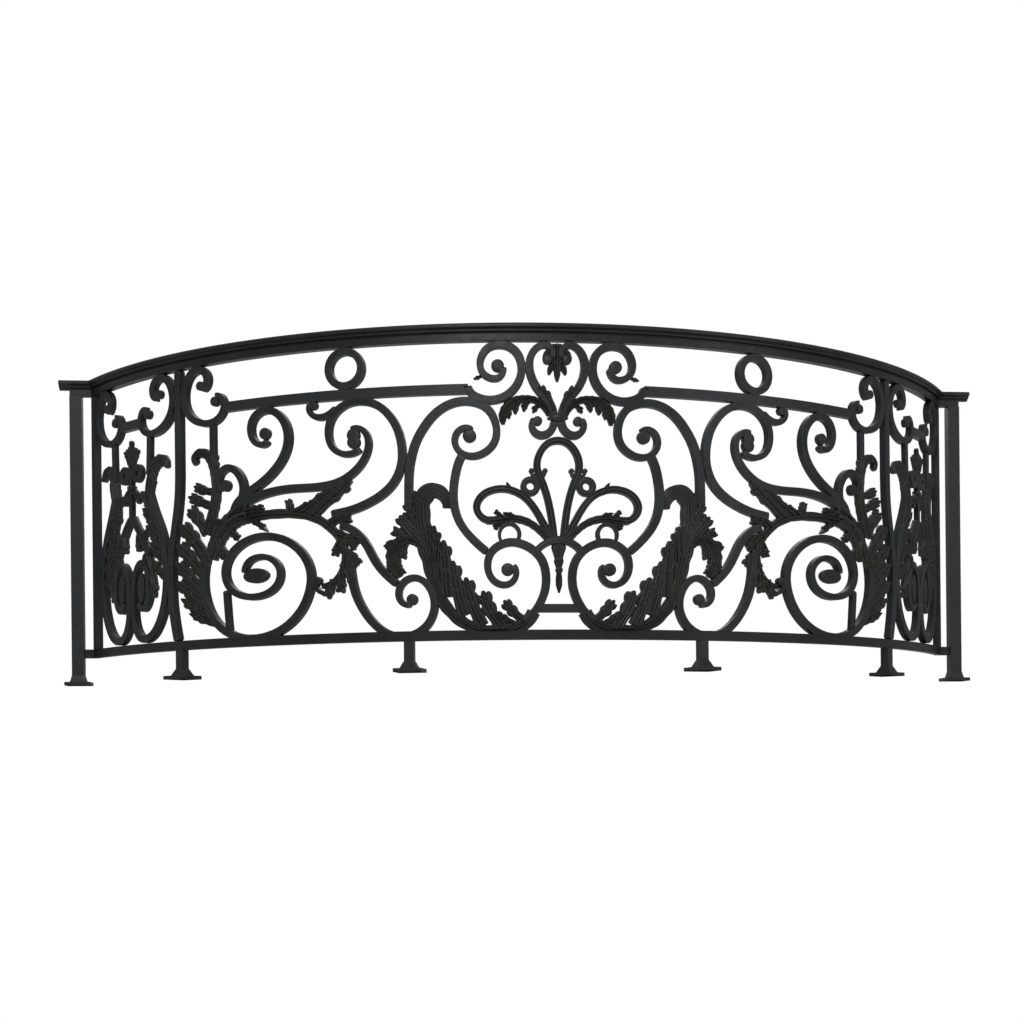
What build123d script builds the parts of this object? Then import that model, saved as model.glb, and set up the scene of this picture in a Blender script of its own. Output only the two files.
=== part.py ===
from build123d import *
from math import acos, cos, degrees, sin
import os

os.makedirs("parts", exist_ok=True)

# Plan of the bow: radius of the middle of the ironwork and the arc from its centre to a corner
BOW_RADIUS = 1754.5
CORNER_ARC = 1860.0
# Length of the straight return from a corner to the middle of its end post
RETURN_LENGTH = 62.0

# Heights of the horizontal members above the floor
TOTAL_HEIGHT = 1070.0
CAP_THICKNESS = 18.0
CAP_HALF_WIDTH = 32.0
BEAD_HEIGHT = 6.0
BEAD_HALF_WIDTH = 21.0
NECK_HEIGHT = 6.5
NECK_HALF_WIDTH = 9.0
TOP_RAIL_HEIGHT = 22.5
TOP_RAIL_HALF_DEPTH = 15.0
BOTTOM_RAIL_UNDERSIDE = 96.0
BOTTOM_RAIL_HEIGHT = 31.0
MIDDLE_RAIL_TOP = 886.5
MIDDLE_RAIL_HEIGHT = 31.0
RAIL_DEPTH = 24.0

# Square bar the scrolls are bent from, and the lighter bar of the small curls
BAR = 25.5
BAR_DEPTH = 26.0
LIGHT_DEPTH = 18.0
TIP_SHARE = 0.72

# Posts, feet and the overhang of the handrail past an end post
END_POST = 42.0
POST_BAR = 26.0
STUB_BAR = 30.0
CAP_OVERHANG = 36.0
FOOT_WIDTH = 88.0
FOOT_PLATE = 12.0
FOOT_CONE = 24.0
INNER_FOOT_ARC = 467.0
OUTER_FOOT_ARC = 1313.0

# Rings between the middle rail and the top rail
RING_ARC = 667.0
RING_BAR = 24.0

# Upright bar at a corner, and the middle of the narrow side panel between it and the outer post
CORNER_BAR_ARC = 1843.0
SIDE_AXIS = (OUTER_FOOT_ARC + CORNER_BAR_ARC) / 2

# Smallest offcut kept when one bar is fitted against another
OFFCUT = 900.0
# Pieces on the front centre line stop this far short of their mirror twins
HALF_SLIT = 0.15

TOP_RAIL_UNDERSIDE = TOTAL_HEIGHT - CAP_THICKNESS - BEAD_HEIGHT - NECK_HEIGHT - TOP_RAIL_HEIGHT
BOTTOM_RAIL_TOP = BOTTOM_RAIL_UNDERSIDE + BOTTOM_RAIL_HEIGHT
MIDDLE_RAIL_UNDERSIDE = MIDDLE_RAIL_TOP - MIDDLE_RAIL_HEIGHT


def bow(s, z, lift=0.0):
    """Point at arc s and height z, lifted outward from the middle of the ironwork."""
    a = s / BOW_RADIUS
    r = BOW_RADIUS + lift
    return Vector(r * sin(a), BOW_RADIUS - r * cos(a), z)


def bow_plane(s, z, lift=0.0):
    """Plane facing outward at arc s, its x along the bow and its y upward."""
    a = s / BOW_RADIUS
    return Plane(origin=bow(s, z, lift), x_dir=(cos(a), sin(a), 0), z_dir=(sin(a), -cos(a), 0))


def section(c, d, corners):
    """Closed outline square to direction d at c, of corners given across the bar and outward."""
    a = c.X / BOW_RADIUS
    across = Vector(-d.Y * cos(a), -d.Y * sin(a), d.X)
    out = Vector(sin(a), -cos(a), 0)
    return Wire.make_polygon([bow(c.X, c.Y) + across * u + out * v for u, v in corners], close=True)


def stations(path, stretch=75.0, turn=0.62):
    """Shares of a path's length where sections go, closer together where it bends sharply."""
    fine = 240
    total = [0.0]
    last = path % 0
    for i in range(1, fine + 1):
        now = path % (i / fine)
        bend = acos(max(-1.0, min(1.0, now.X * last.X + now.Y * last.Y)))
        total.append(total[-1] + path.length / fine / stretch + bend / turn)
        last = now
    count = max(4, round(total[-1]))
    places = []
    i = 0
    for k in range(count + 1):
        goal = total[-1] * k / count
        while i < fine and total[i + 1] < goal:
            i += 1
        span = total[min(i + 1, fine)] - total[i]
        share = (goal - total[i]) / span if span else 0.0
        places.append(min(1.0, (i + share) / fine))
    return places


def bent_bar(points, width=BAR, end_width=None, depth=BAR_DEPTH, lift=0.0, taper_from=0.55):
    """Flat-faced bar bent on edge along points of arc and height, thinning toward its last end."""
    end_width = width if end_width is None else end_width
    path = Spline([(s, z, 0) for s, z in points])
    wires = []
    for t in stations(path):
        k = max(0.0, (t - taper_from) / (1 - taper_from))
        h = (width + (end_width - width) * k) / 2
        lo = lift - depth / 2
        hi = lift + depth / 2
        wires.append(section(path @ t, path % t, [(h, lo), (h, hi), (-h, hi), (-h, lo)]))
    return Solid.make_loft(wires, ruled=True)


def frond(points, width, end_width, depth=BAR_DEPTH, lift=2.0, taper_from=0.5):
    """Stem of a cast leaf: a smooth blade with a raised midrib, bent like a bar."""
    path = Spline([(s, z, 0) for s, z in points])
    wires = []
    for t in stations(path):
        k = max(0.0, (t - taper_from) / (1 - taper_from))
        h = (width + (end_width - width) * k) / 2
        back = lift - depth / 2
        edge = lift + depth * 0.12
        crest = lift + depth / 2
        outline = [(h, back), (h, edge), (0, crest), (-h, edge), (-h, back)]
        wires.append(section(path @ t, path % t, outline))
    return Solid.make_loft(wires, ruled=True)


def disc(s, z, r, depth=BAR_DEPTH, lift=0.0, rise=None):
    """Flattened eye of a scroll, round or oval."""
    rise = r if rise is None else rise
    outline = Circle(r) if rise == r else Ellipse(r, rise)
    return extrude(bow_plane(s, z, lift - depth / 2) * outline, depth)


def ring(s, z, r, hole, depth=BAR_DEPTH):
    """Round ring set flat in the panel."""
    return extrude(bow_plane(s, z, -depth / 2) * (Circle(r) - Circle(hole)), depth)


def petal(root, bend, tip, width, depth=BAR_DEPTH, lift=2.0):
    """One lobe of a cast leaf: a ridged blade that swells, then narrows to a blunt tip."""
    path = Bezier((*root, 0), (*bend, 0), (*tip, 0))
    wires = []
    for t, w, h in ((0, 0.62, 0.9), (0.5, 1.0, 1.0), (1, 0.36, 0.55)):
        c = path @ t
        d = path % t
        half = width * w / 2
        back = lift - depth / 2
        edge = lift + depth * (h - 0.78)
        crest = lift + depth * (h - 0.5)
        wires.append(section(c, d, [(half, back), (half, edge), (0, crest), (-half, edge), (-half, back)]))
    return Solid.make_loft(wires, ruled=True)


def fuse(*shapes):
    """One body from shapes that overlap."""
    first, *rest = shapes
    return first.fuse(*rest) if rest else first


def near(a, b):
    """Whether two bounding boxes meet."""
    p, q = a.bounding_box(), b.bounding_box()
    return all(getattr(p.min, k) < getattr(q.max, k) and getattr(q.min, k) < getattr(p.max, k) for k in "XYZ")


def fitted(shape, *others):
    """Shape cut back to where it meets the pieces already in place, without slivers."""
    blocks = [o for group in others for o in group.solids() if near(shape, o)]
    rest = shape.cut(*blocks) if blocks else shape
    solids = [q for q in rest.solids() if q.volume > OFFCUT]
    return Compound(children=solids) if len(solids) > 1 else solids[0]


def pair(shape):
    """A piece of the right half and its mirror twin on the left."""
    solids = []
    for q in shape.solids():
        solids += [q, q.mirror(Plane.YZ)]
    return Compound(children=solids)


def right_half(shape):
    """The part of a shape that lies right of the front centre line."""
    room = Pos(HALF_SLIT + TOTAL_HEIGHT, 0, TOTAL_HEIGHT / 2) * Box(2 * TOTAL_HEIGHT, 4 * TOTAL_HEIGHT, 2 * TOTAL_HEIGHT)
    cut = shape & room
    return max(cut.solids(), key=lambda q: q.volume)


PIECES = {}


def keep(name, shape):
    """Name a finished piece and hand it back for its neighbours to fit."""
    PIECES[name] = shape
    return shape


# Line of the rails in plan: the bow, a mitre at each corner and a straight return to each end
corner = bow(CORNER_ARC, 0)
slope = CORNER_ARC / BOW_RADIUS


def rail_path(reach):
    """Bow with straight returns that run on past the corners by reach."""
    left = Vector(-corner.X, corner.Y, 0)
    arc = ThreePointArc(left, (0, 0, 0), corner)
    start = left - Vector(reach, 0, 0)
    end = corner + Vector(reach, 0, 0)
    return Wire([Edge.make_line(start, left), arc.edge(), Edge.make_line(corner, end)]), start


def rail(profile_points, reach):
    """Moulding of one section carried round the bow and mitred into its returns."""
    path, start = rail_path(reach)
    plane = Plane(origin=start, x_dir=(0, 1, 0), z_dir=(1, 0, 0))
    face = plane * make_face(Polyline(*profile_points, close=True).edges())
    return sweep(face, path=path, transition=Transition.RIGHT)


def box_profile(half, z0, z1):
    """Rectangular section."""
    return [(-half, z0), (half, z0), (half, z1), (-half, z1)]


def bow_bar(s0, s1, z0, z1, half):
    """Rectangular bar along part of the bow."""
    face = bow_plane_side(s0) * make_face(Polyline(*box_profile(half, z0, z1), close=True).edges())
    axis = Axis((0, BOW_RADIUS, 0), (0, 0, 1))
    return revolve(face, axis=axis, revolution_arc=degrees((s1 - s0) / BOW_RADIUS))


def bow_plane_side(s):
    """Upright plane across the bow at arc s, its x outward and its y upward."""
    a = s / BOW_RADIUS
    return Plane(origin=bow(s, 0), x_dir=(sin(a), -cos(a), 0), z_dir=(-cos(a), -sin(a), 0))


def post(s, z0, z1, width, depth):
    """Upright bar standing square to the bow."""
    return bow_plane(s, (z0 + z1) / 2) * Box(width, z1 - z0, depth)


def eyed(points, eye, r, width=BAR, end_width=None, rise=None, **more):
    """Scroll bar that ends in a flattened eye."""
    end_width = TIP_SHARE * width if end_width is None else end_width
    return fuse(bent_bar(points, width, end_width, **more), disc(*eye, r, rise=rise))


def leafed(body, *lobes, **more):
    """A stem with its lobes, each given by root, bend, tip and width."""
    return fuse(body, *[petal(*lobe, **more) for lobe in lobes])


def mirrored(shape, s):
    """Shape reflected across the radial plane at arc s."""
    a = s / BOW_RADIUS
    plane = Plane(origin=bow(s, 0), x_dir=(0, 0, 1), z_dir=(cos(a), sin(a), 0))
    return Compound(children=[q.mirror(plane) for q in shape.solids()])


def flip(points, s):
    """Arc and height points reflected across arc s."""
    return [(2 * s - a, z) for a, z in points]


def both(shape, s):
    """A shape with its reflection across arc s."""
    return Compound(children=[*shape.solids(), *mirrored(shape, s).solids()])


def foot(place, top):
    """Foot plate with a short pyramid that narrows to the stub above it."""
    plate = place * Pos(0, 0, FOOT_PLATE / 2) * Box(FOOT_WIDTH, FOOT_WIDTH, FOOT_PLATE)
    low = place * Pos(0, 0, FOOT_PLATE) * Rectangle(FOOT_WIDTH * 0.62, FOOT_WIDTH * 0.62)
    high = place * Pos(0, 0, FOOT_PLATE + FOOT_CONE) * Rectangle(top, top)
    return fuse(plate, loft([low, high]).solid())


FOOT_TOP = FOOT_PLATE + FOOT_CONE

# Handrail, the flat bar under it and the bottom rail, each mitred at the corners
END_REACH = RETURN_LENGTH + END_POST / 2
cap_z = TOTAL_HEIGHT - CAP_THICKNESS
bead_z = cap_z - BEAD_HEIGHT
neck_z = bead_z - NECK_HEIGHT
NOSE = CAP_THICKNESS * 0.3
cap_outline = [
    (-NECK_HALF_WIDTH, neck_z), (NECK_HALF_WIDTH, neck_z), (NECK_HALF_WIDTH, bead_z),
    (BEAD_HALF_WIDTH, bead_z), (BEAD_HALF_WIDTH, cap_z), (CAP_HALF_WIDTH, cap_z + NOSE),
    (CAP_HALF_WIDTH, TOTAL_HEIGHT - NOSE), (CAP_HALF_WIDTH - NOSE, TOTAL_HEIGHT),
    (NOSE - CAP_HALF_WIDTH, TOTAL_HEIGHT), (-CAP_HALF_WIDTH, TOTAL_HEIGHT - NOSE),
    (-CAP_HALF_WIDTH, cap_z + NOSE), (-BEAD_HALF_WIDTH, cap_z), (-BEAD_HALF_WIDTH, bead_z),
    (-NECK_HALF_WIDTH, bead_z),
]
keep("handrail_cap", rail(cap_outline, END_REACH + CAP_OVERHANG))
top_rail = keep("top_rail", rail(box_profile(TOP_RAIL_HALF_DEPTH, TOP_RAIL_UNDERSIDE, neck_z), END_REACH))
low_box = box_profile(RAIL_DEPTH / 2, BOTTOM_RAIL_UNDERSIDE, BOTTOM_RAIL_TOP)
bottom_rail = keep("bottom_rail", rail(low_box, RETURN_LENGTH - END_POST / 2))

# End posts on their feet, square to the returns
end_place = Pos(corner.X + RETURN_LENGTH, corner.Y, 0)
end_post = end_place * Pos(0, 0, (FOOT_TOP + TOP_RAIL_UNDERSIDE) / 2) * Box(
    END_POST, END_POST, TOP_RAIL_UNDERSIDE - FOOT_TOP
)
keep("end_posts", pair(end_post))


def bow_place(s):
    """Level frame at floor height, square to the bow at arc s."""
    a = s / BOW_RADIUS
    return Plane(origin=bow(s, 0), x_dir=(cos(a), sin(a), 0), z_dir=(0, 0, 1))


# Feet and stubs under the bottom rail
foot_arcs = (INNER_FOOT_ARC, OUTER_FOOT_ARC)
feet = [foot(end_place, END_POST)] + [foot(bow_place(s), STUB_BAR) for s in foot_arcs]
keep("feet", pair(Compound(children=feet)))
stubs = [post(s, FOOT_TOP, BOTTOM_RAIL_UNDERSIDE, STUB_BAR, STUB_BAR) for s in foot_arcs]
keep("foot_stubs", pair(Compound(children=stubs)))

# Outer posts bow outward in their lower half, corner bars stand straight
post_points = [
    (OUTER_FOOT_ARC, TOP_RAIL_UNDERSIDE), (OUTER_FOOT_ARC, 850), (OUTER_FOOT_ARC, 700),
    (OUTER_FOOT_ARC + 4, 600), (OUTER_FOOT_ARC + 22, 500), (OUTER_FOOT_ARC + 37, 420),
    (OUTER_FOOT_ARC + 42, 340), (OUTER_FOOT_ARC + 40, 260), (OUTER_FOOT_ARC + 29, 190),
    (OUTER_FOOT_ARC + 14, BOTTOM_RAIL_TOP),
]
outer_post = bent_bar(post_points, POST_BAR, depth=POST_BAR)
keep("outer_posts", pair(outer_post))
corner_bar = post(CORNER_BAR_ARC, BOTTOM_RAIL_TOP, TOP_RAIL_UNDERSIDE, POST_BAR, POST_BAR)
keep("corner_bars", pair(corner_bar))

# Straight middle rails between the front volutes and the outer scrolls, and on the side panels
middle = bow_bar(276, 1104, MIDDLE_RAIL_UNDERSIDE, MIDDLE_RAIL_TOP, RAIL_DEPTH / 2)

# Heart of two scrolls at the top centre, tied by a collar, with leaves at its base
collar = bow_plane(0, 780) * Box(66, 28, BAR_DEPTH + 12)
keep("heart_collar", collar)
heart = eyed(
    [(14, 779), (18, 812), (38, 842), (60, 868), (76, 896), (85, 925), (86, 950), (79, 976),
     (63, 997), (41, 1006), (21, 999), (12.5, 982), (17, 966)],
    (30, 961), 15, BAR, 16,
)
heart = leafed(heart, ((14, 803), (24, 852), (60, 876), 30), lift=7)
heart = fitted(right_half(heart), top_rail, collar)
keep("heart_scrolls", pair(heart))

drop = leafed(
    petal((0, 1004), (0, 960), (0, 893), 30, lift=0),
    ((10, 975), (20, 945), (25, 912), 16), ((-10, 975), (-20, 945), (-25, 912), 16), lift=0,
)
keep("drop_leaf", fitted(drop, top_rail, PIECES["heart_scrolls"]))

# Volutes beside the heart, at the inner ends of the middle rails
volute = eyed(
    [(276, 880), (266, 858), (240, 842), (204, 836), (163, 847), (132, 873), (114, 908), (111, 945),
     (123, 979), (149, 1001), (181, 1007), (212, 998), (232, 974), (238, 946), (229, 919), (206, 904),
     (184, 904), (169, 919), (165, 937)],
    (184, 942), 20,
)
volute = leafed(volute, ((228, 915), (244, 908), (257, 902), 12))
volute = fitted(volute, top_rail, heart)
keep("upper_volutes", pair(volute))
middle = fitted(middle, volute)

# Small scrolls and swept leaves springing from the collar
collar_scroll = eyed(
    [(12, 772), (17, 748), (32, 732), (54, 727), (74, 739), (81, 760), (74, 778)], (63, 771), 15, 24, 16
)
collar_scroll = fitted(right_half(collar_scroll), collar)
keep("collar_scrolls", pair(collar_scroll))
swept = leafed(
    frond([(22, 792), (45, 821), (78, 839), (112, 840), (144, 826), (166, 801), (172, 770)], 24, 14),
    ((88, 838), (106, 828), (108, 803), 24), ((118, 836), (134, 822), (130, 796), 22),
)
swept = fitted(right_half(swept), collar, heart, volute)
keep("swept_leaves", pair(swept))

# C-scrolls that carry the front panel and the links down to the lower scrolls
c_scroll = eyed(
    [(465, 500), (464, 575), (462, 620), (454, 668), (440, 712), (415, 756), (380, 797), (340, 823),
     (296, 834), (252, 829), (216, 809), (196, 777), (189, 739), (198, 703), (223, 677), (260, 664),
     (295, 672), (315, 695), (318, 721), (306, 743), (284, 752), (264, 745)],
    (273, 727), 21,
)

# Wide palmette scrolls low in the centre
palm_scroll = eyed(
    [(110, 152), (78, 182), (56, 217), (43, 256), (41, 296), (50, 335), (73, 367), (108, 389),
     (148, 397), (183, 388), (208, 368), (220, 336), (217, 303), (201, 278), (176, 266), (152, 270),
     (136, 287), (133, 308), (141, 326)],
    (159, 313), 20,
)
c_scroll = fitted(c_scroll, volute, middle)
link = fitted(
    bent_bar([(296, 668), (309, 640), (319, 600), (324, 560), (323, 520), (313, 478), (292, 439),
              (260, 402), (215, 362)]),
    c_scroll, palm_scroll,
)

# Leafy drop, bridge and tie bar between the palmette scrolls
bridge = bent_bar(
    [(-74, 362), (-48, 389), (-22, 401), (0, 405), (22, 401), (48, 389), (74, 362)], 22
)
keep("palmette_scrolls", pair(palm_scroll))
bridge = keep("bridge_arc", fitted(bridge, PIECES["palmette_scrolls"]))
husk_sections = [
    section(Vector(0, z), Vector(0, -1), [(w, -d), (w, d), (-w, d), (-w, -d)])
    for z, w, d in ((400, 20, 12), (360, 22, 16), (312, 18, 15), (298, 9, 9), (275, 10, 10), (243, 3, 4))
]
keep("husk_drop", fitted(Solid.make_loft(husk_sections, ruled=True), bridge))
tie = bow_bar(-66, 66, 180, 206, BAR_DEPTH / 2 - 2)
keep("tie_bar", fitted(tie, PIECES["palmette_scrolls"]))

# Palmette above the bridge: arch, rings, loops and curls
arch = bent_bar(
    [(-26, 705), (0, 711), (28, 704), (51, 681), (64, 650), (65, 624), (54, 592), (42, 560), (29, 510),
     (20, 455), (15, 412)],
    22,
)
arch = leafed(arch, ((60, 610), (78, 608), (92, 624), 18), ((62, 612), (50, 610), (38, 626), 18))
arch = fitted(right_half(arch), collar_scroll, bridge)
keep("palmette_arch", pair(arch))
small_ring = fitted(ring(87, 569, 31, 14, BAR_DEPTH - 4), arch)
keep("palmette_rings", pair(small_ring))
loop = fuse(
    bent_bar(
        [(20, 404), (47, 453), (76, 503), (106, 537), (138, 555), (168, 562), (197, 560), (226, 549),
         (246, 529), (253, 507), (246, 485), (230, 470), (206, 463)], 22),
    frond([(222, 466), (190, 467), (160, 471), (125, 469), (90, 457), (57, 432), (32, 404)], 25, 20),
    petal((150, 466), (184, 462), (196, 440), 18), petal((168, 468), (184, 478), (193, 494), 14),
    petal((140, 548), (150, 566), (160, 578), 14),
)
loop = fitted(right_half(loop), arch, small_ring, bridge, palm_scroll)
keep("palmette_loops", pair(loop))
curl = bent_bar([(127, 404), (122, 424), (131, 444), (152, 454), (174, 445), (183, 426), (178, 400)], 13, depth=18)
keep("palmette_curls", pair(fitted(curl, loop, palm_scroll)))

# Large acanthus at the foot of the front panel, with its second curled leaf
acanthus = leafed(
    frond(
        [(80, 182), (106, 148), (144, 126), (192, 117), (240, 123), (286, 143), (326, 173), (358, 212),
         (379, 256), (391, 300), (402, 350), (414, 400), (424, 450), (428, 500), (418, 540), (394, 560),
         (366, 555), (350, 532)], 42, 20, lift=5),
    ((106, 150), (140, 172), (176, 216), 36), ((176, 132), (218, 178), (234, 240), 50),
    ((240, 142), (276, 196), (284, 274), 50), ((296, 164), (320, 240), (322, 328), 50),
    ((345, 236), (344, 320), (347, 398), 44), ((378, 300), (374, 350), (371, 394), 34),
    ((424, 410), (464, 446), (490, 494), 44), ((426, 450), (452, 488), (466, 520), 30),
    ((404, 540), (416, 574), (402, 590), 32), ((366, 548), (346, 546), (342, 518), 28),
    lift=5,
)
curled = leafed(
    frond([(400, 352), (420, 388), (446, 408), (476, 412), (502, 400), (515, 374), (515, 345), (506, 318),
           (496, 296)], 40, 16, lift=4),
    ((464, 404), (490, 432), (514, 432), 30), ((504, 384), (530, 394), (537, 368), 28),
    ((474, 408), (484, 382), (486, 362), 22), lift=4,
)
plant = fitted(fuse(acanthus, curled), bottom_rail, palm_scroll, c_scroll, tie)
keep("bottom_acanthus", pair(plant))
keep("c_scrolls", pair(fitted(c_scroll, plant)))
keep("link_bars", pair(fitted(link, plant)))

# Small scrolls above the inner feet and the links that rise from them
small_scroll = eyed(
    [(664, 388), (656, 345), (650, 300), (640, 255), (619, 208), (590, 166), (555, 133), (518, 115),
     (478, 110), (440, 121), (411, 143), (393, 172), (386, 206), (392, 241), (411, 273), (440, 291),
     (467, 289), (489, 272), (499, 246), (492, 221), (474, 209), (460, 211)],
    (456, 225), 18,
)
small_scroll = fitted(small_scroll, plant, bottom_rail)
rise_bar = bent_bar([(497, 268), (528, 295), (558, 327), (584, 368), (608, 410), (640, 443), (688, 464)])
rise_bar = fitted(rise_bar, plant, small_scroll)

# Outer scrolls of the front panel with their tendrils, and the long stems inside them
outer_scroll = eyed(
    [(716, 499), (690, 503), (650, 510), (604, 525), (558, 548), (518, 581), (494, 620), (484, 661),
     (485, 702), (496, 750), (521, 795), (559, 830), (608, 847), (658, 843), (697, 820), (719, 787),
     (724, 750), (713, 713), (686, 690), (654, 685), (618, 699)],
    (640, 743), 21,
)
tendril = eyed([(697, 832), (722, 813), (750, 806), (777, 814), (791, 834), (786, 852)], (775, 845), 14, 20, 12)
main_stem = eyed(
    [(1110, 496), (1075, 530), (1030, 556), (970, 576), (910, 586), (850, 589), (788, 588), (730, 591),
     (680, 604), (638, 630), (609, 662), (594, 695), (592, 726), (604, 752), (626, 764), (648, 760)],
    (641, 743), 21,
)

# Big spirals of the outer front, flat ovals at heart
big_spiral = eyed(
    [(1184, 420), (1198, 372), (1206, 318), (1197, 258), (1172, 205), (1130, 161), (1070, 131),
     (1000, 121), (930, 131), (868, 161), (822, 206), (796, 258), (789, 316), (808, 368), (850, 411),
     (915, 439), (990, 442), (1055, 420), (1098, 381), (1112, 335), (1094, 290), (1050, 262),
     (990, 254), (935, 268), (904, 298), (900, 336), (926, 368), (975, 380), (1020, 364), (1034, 332)],
    (990, 321), 48, rise=24,
)

# Leafy sheath where the stems gather, open like a sleeve
sheath = leafed(
    frond([(1022, 522), (1074, 510), (1120, 480), (1152, 438), (1176, 388)], 66, 54, lift=6, depth=30),
    ((1050, 512), (990, 502), (947, 460), 20), ((1150, 440), (1178, 410), (1204, 366), 34),
    ((1140, 450), (1130, 412), (1114, 392), 28), ((1090, 516), (1064, 532), (1040, 548), 24),
    lift=8,
)

# Scrolls that fan out above the sheath
top_side_scroll = eyed(
    [(1074, 528), (1066, 549), (1046, 569), (1012, 590), (965, 615), (922, 646), (890, 681),
     (870, 721), (866, 763), (878, 801), (905, 831), (945, 845), (982, 834), (1002, 806), (1002, 772),
     (986, 746), (960, 736), (940, 748)],
    (951, 771), 19,
)
small_side_scroll = eyed(
    [(1050, 560), (1038, 584), (1036, 612), (1048, 643), (1072, 667), (1104, 674),
     (1131, 656), (1136, 627), (1122, 606)],
    (1107, 618), 19, 24,
)

# Branch of acanthus that hangs from the sheath over the big spiral
branch = leafed(
    frond(
        [(1058, 504), (990, 512), (910, 514), (832, 508), (762, 486), (704, 440), (674, 384),
         (682, 326), (716, 286), (752, 277)], 30, 20, lift=4, taper_from=0.7),
    ((776, 500), (712, 556), (650, 600), 42), ((812, 508), (758, 550), (706, 578), 32),
    ((728, 468), (694, 490), (662, 482), 34), ((704, 436), (664, 424), (638, 392), 38),
    ((686, 372), (654, 352), (632, 322), 36), ((688, 330), (672, 292), (678, 266), 30),
    ((708, 300), (712, 270), (724, 248), 34), ((862, 510), (862, 530), (870, 546), 28), lift=5,
)
branch = fuse(branch, disc(765, 293, 14))

upper_c = eyed(
    [(1204, 942), (1189, 949), (1181, 972), (1194, 996), (1224, 1006), (1256, 994), (1279, 960),
     (1285, 918), (1270, 874), (1236, 843), (1190, 828), (1145, 833), (1116, 858), (1112, 890),
     (1128, 911), (1146, 912)],
    (1150, 895), 16, 24,
)
upper_c = fuse(upper_c, disc(1213, 953, 15))

outer_scroll = fitted(outer_scroll, plant, middle, c_scroll)
main_stem = fitted(main_stem, sheath, outer_scroll)
big_spiral = fitted(big_spiral, sheath, bottom_rail)
branch = fitted(branch, sheath, outer_scroll, main_stem, big_spiral, small_scroll)
outer_scroll = fitted(outer_scroll, branch)
rise_bar = fitted(rise_bar, branch)
small_scroll = fitted(small_scroll, rise_bar)
tendril = fitted(tendril, outer_scroll, middle)
top_side_scroll = fitted(top_side_scroll, sheath, main_stem, middle)
small_side_scroll = fitted(small_side_scroll, sheath, main_stem, top_side_scroll)
upper_c = fitted(upper_c, top_rail, outer_post)
middle = fitted(middle, upper_c)
keep("small_scrolls", pair(small_scroll))
keep("rising_links", pair(rise_bar))
keep("outer_scrolls", pair(outer_scroll))
keep("tendrils", pair(tendril))
keep("main_stems", pair(main_stem))
keep("big_spirals", pair(big_spiral))
keep("leaf_sheaths", pair(sheath))
keep("top_side_scrolls", pair(top_side_scroll))
keep("small_side_scrolls", pair(small_side_scroll))
keep("branch_acanthus", pair(branch))
keep("middle_rails", pair(middle))

# Rings held between the middle rail and the top rail
RING_RADIUS = (TOP_RAIL_UNDERSIDE - MIDDLE_RAIL_TOP) / 2 + 0.8
ring_height = (TOP_RAIL_UNDERSIDE + MIDDLE_RAIL_TOP) / 2
rings = fitted(ring(RING_ARC, ring_height, RING_RADIUS, RING_RADIUS - RING_BAR), middle, top_rail)
keep("rings", pair(rings))

# Column of leaves between each big spiral and its outer post, topped by a curled leaf
leaf_curl = leafed(
    frond([(1196, 470), (1170, 530), (1152, 600), (1158, 668), (1184, 722), (1222, 736), (1248, 720),
           (1246, 700)], 40, 14, lift=3),
    ((1180, 560), (1216, 574), (1266, 592), 32), ((1164, 600), (1204, 604), (1236, 622), 26), lift=3,
)
leaf_column = leafed(
    leaf_curl,
    ((1196, 470), (1222, 520), (1268, 548), 40), ((1200, 390), (1240, 450), (1312, 504), 50),
    ((1206, 336), (1256, 386), (1328, 446), 48), ((1212, 284), (1262, 326), (1330, 386), 48),
    ((1206, 240), (1258, 272), (1326, 322), 44), ((1186, 200), (1240, 222), (1304, 262), 36),
    lift=3,
)
leaf_column = fitted(leaf_column, outer_post, sheath, big_spiral, small_side_scroll)
keep("leaf_columns", pair(leaf_column))
upright = bent_bar([(1160, 824), (1160, 740), (1157, 650)], 22, depth=18)
upright = fitted(upright, upper_c, leaf_column)
prop = fitted(bent_bar([(1109, 280), (1104, 215), (1097, 145)], 22, depth=18), big_spiral)

# C-scrolls either side of the outer posts and beside the corner bars
side_c = mirrored(upper_c, OUTER_FOOT_ARC)
side_cs = Compound(children=[*side_c.solids(), *mirrored(side_c, SIDE_AXIS).solids()])
side_cs = fitted(side_cs, outer_post, corner_bar, top_rail)
keep("post_c_scrolls", pair(Compound(children=[*upper_c.solids(), *side_cs.solids()])))
mid_low = OUTER_FOOT_ARC * 2 - 1104
side_middle = bow_bar(
    mid_low, 2 * SIDE_AXIS - mid_low, MIDDLE_RAIL_UNDERSIDE, MIDDLE_RAIL_TOP, RAIL_DEPTH / 2
)
side_middle = fitted(side_middle, side_cs)
keep("side_middle_rails", pair(side_middle))

# Tall spirals that face each other in the side panel
side_spiral = eyed(
    flip([(1150, 640), (1186, 560), (1226, 480), (1242, 410), (1246, 340), (1236, 262), (1204, 190),
          (1156, 148), (1108, 146), (1074, 182), (1061, 240), (1062, 310), (1078, 372), (1110, 400),
          (1140, 376), (1150, 316), (1140, 262), (1118, 244), (1096, 268)], OUTER_FOOT_ARC),
    (2 * OUTER_FOOT_ARC - 1108, 316), 18, rise=50,
)
side_leaf = leafed(
    frond([(1476, 560), (1474, 640), (1462, 690), (1432, 730), (1400, 732), (1378, 706)], 38, 14, lift=3),
    ((1440, 540), (1476, 580), (1506, 640), 38), ((1420, 490), (1466, 530), (1500, 580), 38),
    ((1400, 440), (1444, 470), (1482, 520), 36), ((1392, 390), (1428, 410), (1458, 462), 34),
    ((1388, 340), (1420, 350), (1444, 400), 30), lift=3,
)
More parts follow.
